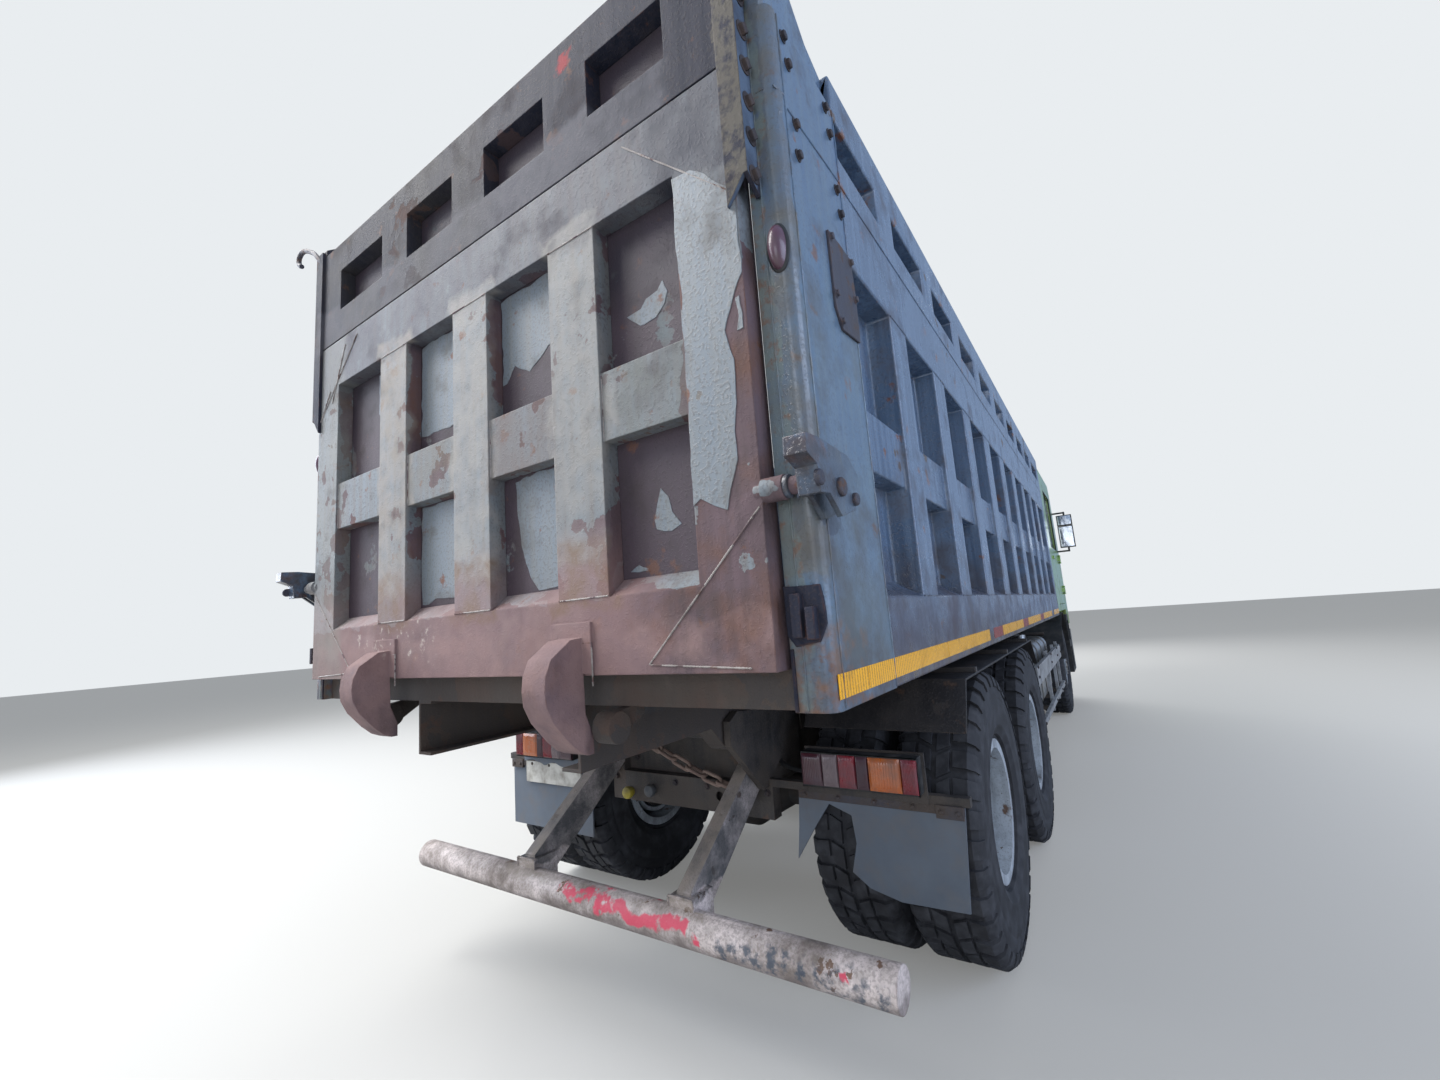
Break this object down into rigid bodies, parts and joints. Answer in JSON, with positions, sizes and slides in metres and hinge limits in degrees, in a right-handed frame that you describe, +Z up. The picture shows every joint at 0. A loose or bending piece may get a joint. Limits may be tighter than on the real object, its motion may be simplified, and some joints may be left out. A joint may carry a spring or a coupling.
{
  "type": "dump truck",
  "caption": "Heavy three-axle rear dump truck with a ribbed steel tipping body, top-hung tailgate with hook lugs, twin rear wheels and a tilting cab.",
  "frame": {"origin": "on the ground under the middle of the overall length, on the centre line", "axes": "+X forward along the truck, +Y to its left, +Z up"},
  "size_m": [9.045, 2.88, 3.41],
  "materials": {
    "frame_paint": "dusty dark paint",
    "body_steel": "weathered dark blue-grey paint",
    "gate_primer": "weathered mauve-brown primer",
    "cab_paint": "gloss green paint",
    "bare_bar": "worn grey paint with rust",
    "tyre": "dusty rubber",
    "rim_silver": "silver-grey paint",
    "rubber_sheet": "matt rubber",
    "lamp": "tinted lens",
    "headlamp": "clear lens",
    "tank": "satin",
    "dark_tank": "black paint",
    "guard_silver": "silver paint",
    "cast": "dusty casting",
    "spring_steel": "dark oxide",
    "bumper_plastic": "moulded grey",
    "guard_plastic": "moulded black",
    "glass": "clear",
    "grille_plastic": "moulded black",
    "seat_fabric": "woven",
    "dash_plastic": "moulded dark grey",
    "mirror_shell": "moulded black",
    "chain_steel": "rusty",
    "hoist_chrome": "hard chrome"
  },
  "bodies": {
    "chassis": {"chassis_frame": "frame_paint", "crossmembers": "frame_paint", "rear_beam": "frame_paint", "frame_brackets": "frame_paint", "underride_guard": "bare_bar", "lamp_brackets": "frame_paint", "tail_lamps": "lamp", "mud_flaps": "rubber_sheet", "rear_mudguards": "frame_paint", "fuel_tank": "tank", "air_tanks": "dark_tank", "side_guards": "guard_silver", "front_axle": "cast", "leaf_springs": "spring_steel", "drive_axles": "cast", "engine": "cast", "front_bumper": "bumper_plastic", "headlamps": "headlamp", "step_guards": "guard_plastic", "exhaust": "dark_tank", "tow_chain": "chain_steel"},
    "cab": {"cab_shell": "cab_paint", "cab_glass": "glass", "grille": "grille_plastic", "cab_interior": "seat_fabric", "dashboard": "dash_plastic", "mirrors": "mirror_shell"},
    "door_left": {"door_left": "cab_paint", "door_glass_left": "glass"},
    "door_right": {"door_right": "cab_paint", "door_glass_right": "glass"},
    "bed": {"bed_floor": "body_steel", "side_wall_left": "body_steel", "side_wall_right": "body_steel", "side_extensions": "body_steel", "headboard": "body_steel", "rear_posts": "body_steel"},
    "tailgate": {"gate_panel": "gate_primer", "gate_frame": "gate_primer", "gate_extension": "gate_primer"},
    "knuckle_left": {"knuckle_left": "cast"},
    "knuckle_right": {"knuckle_right": "cast"},
    "front_wheel_left": {"front_tyre_left": "tyre", "front_rim_left": "rim_silver"},
    "front_wheel_right": {"front_tyre_right": "tyre", "front_rim_right": "rim_silver"},
    "hoist_barrels": {"hoist_barrels": "dark_tank"},
    "hoist_stage_1": {"hoist_stage_1": "hoist_chrome"},
    "hoist_stage_2": {"hoist_stage_2": "hoist_chrome"},
    "hoist_stage_3": {"hoist_stage_3": "hoist_chrome"},
    "hoist_rods": {"hoist_rods": "hoist_chrome"},
    "rear_wheels_1_left": {"rear_tyres_1_left": "tyre", "rear_rims_1_left": "rim_silver"},
    "rear_wheels_1_right": {"rear_tyres_1_right": "tyre", "rear_rims_1_right": "rim_silver"},
    "rear_wheels_2_left": {"rear_tyres_2_left": "tyre", "rear_rims_2_left": "rim_silver"},
    "rear_wheels_2_right": {"rear_tyres_2_right": "tyre", "rear_rims_2_right": "rim_silver"}
  },
  "joints": [
    {"name": "bed_tilt", "type": "hinge", "parent": "chassis", "child": "bed", "pos_m": [-3.5375, 0, 1], "axis": [0, -1, 0], "range_deg": [0, 45]},
    {"name": "tailgate_swing", "type": "hinge", "parent": "bed", "child": "tailgate", "pos_m": [-4.1975, 0, 3.35], "axis": [0, 1, 0], "range_deg": [0, 75]},
    {"name": "cab_tilt", "type": "hinge", "parent": "chassis", "child": "cab", "pos_m": [4.4025, 0, 1], "axis": [0, 1, 0], "range_deg": [0, 50]},
    {"name": "hoist_lean", "type": "hinge", "parent": "chassis", "child": "hoist_barrels", "pos_m": [-0.8375, 0, 0.45], "axis": [0, -1, 0], "range_deg": [0, 19.14]},
    {"name": "hoist_stage_1_slide", "type": "slide", "parent": "hoist_barrels", "child": "hoist_stage_1", "axis": [0, 0, 1], "range_m": [0, 0.50588]},
    {"name": "hoist_stage_2_slide", "type": "slide", "parent": "hoist_stage_1", "child": "hoist_stage_2", "axis": [0, 0, 1], "range_m": [0, 0.50588]},
    {"name": "hoist_stage_3_slide", "type": "slide", "parent": "hoist_stage_2", "child": "hoist_stage_3", "axis": [0, 0, 1], "range_m": [0, 0.50588]},
    {"name": "hoist_rods_slide", "type": "slide", "parent": "hoist_stage_3", "child": "hoist_rods", "axis": [0, 0, 1], "range_m": [0, 0.50588]},
    {"name": "door_left_swing", "type": "hinge", "parent": "cab", "child": "door_left", "pos_m": [4.1005, 1.218, 2], "axis": [0, 0, -1], "range_deg": [0, 70]},
    {"name": "steer_left", "type": "hinge", "parent": "chassis", "child": "knuckle_left", "pos_m": [2.9875, 0.93, 0.562], "axis": [0, 0, 1], "range_deg": [-32, 32]},
    {"name": "front_wheel_left_spin", "type": "hinge", "parent": "knuckle_left", "child": "front_wheel_left", "pos_m": [2.9875, 1.02, 0.562], "axis": [0, 1, 0], "continuous": true},
    {"name": "rear_wheels_1_left_spin", "type": "hinge", "parent": "chassis", "child": "rear_wheels_1_left", "pos_m": [-2.7375, 0.9225, 0.562], "axis": [0, 1, 0], "continuous": true},
    {"name": "rear_wheels_2_left_spin", "type": "hinge", "parent": "chassis", "child": "rear_wheels_2_left", "pos_m": [-1.3875, 0.9225, 0.562], "axis": [0, 1, 0], "continuous": true},
    {"name": "door_right_swing", "type": "hinge", "parent": "cab", "child": "door_right", "pos_m": [4.1005, -1.218, 2], "axis": [0, 0, 1], "range_deg": [0, 70]},
    {"name": "steer_right", "type": "hinge", "parent": "chassis", "child": "knuckle_right", "pos_m": [2.9875, -0.93, 0.562], "axis": [0, 0, 1], "range_deg": [-32, 32]},
    {"name": "front_wheel_right_spin", "type": "hinge", "parent": "knuckle_right", "child": "front_wheel_right", "pos_m": [2.9875, -1.02, 0.562], "axis": [0, 1, 0], "continuous": true},
    {"name": "rear_wheels_1_right_spin", "type": "hinge", "parent": "chassis", "child": "rear_wheels_1_right", "pos_m": [-2.7375, -0.9225, 0.562], "axis": [0, 1, 0], "continuous": true},
    {"name": "rear_wheels_2_right_spin", "type": "hinge", "parent": "chassis", "child": "rear_wheels_2_right", "pos_m": [-1.3875, -0.9225, 0.562], "axis": [0, 1, 0], "continuous": true}
  ],
  "couplings": [
    {"joint": "hoist_lean", "follows": "bed_tilt", "ratio": 0.42415},
    {"joint": "hoist_stage_1_slide", "follows": "bed_tilt", "m_per_rad": 0.64283},
    {"joint": "hoist_stage_2_slide", "follows": "bed_tilt", "m_per_rad": 0.64283},
    {"joint": "hoist_stage_3_slide", "follows": "bed_tilt", "m_per_rad": 0.64283},
    {"joint": "hoist_rods_slide", "follows": "bed_tilt", "m_per_rad": 0.64283},
    {"joint": "steer_right", "follows": "steer_left", "ratio": 1}
  ]
}
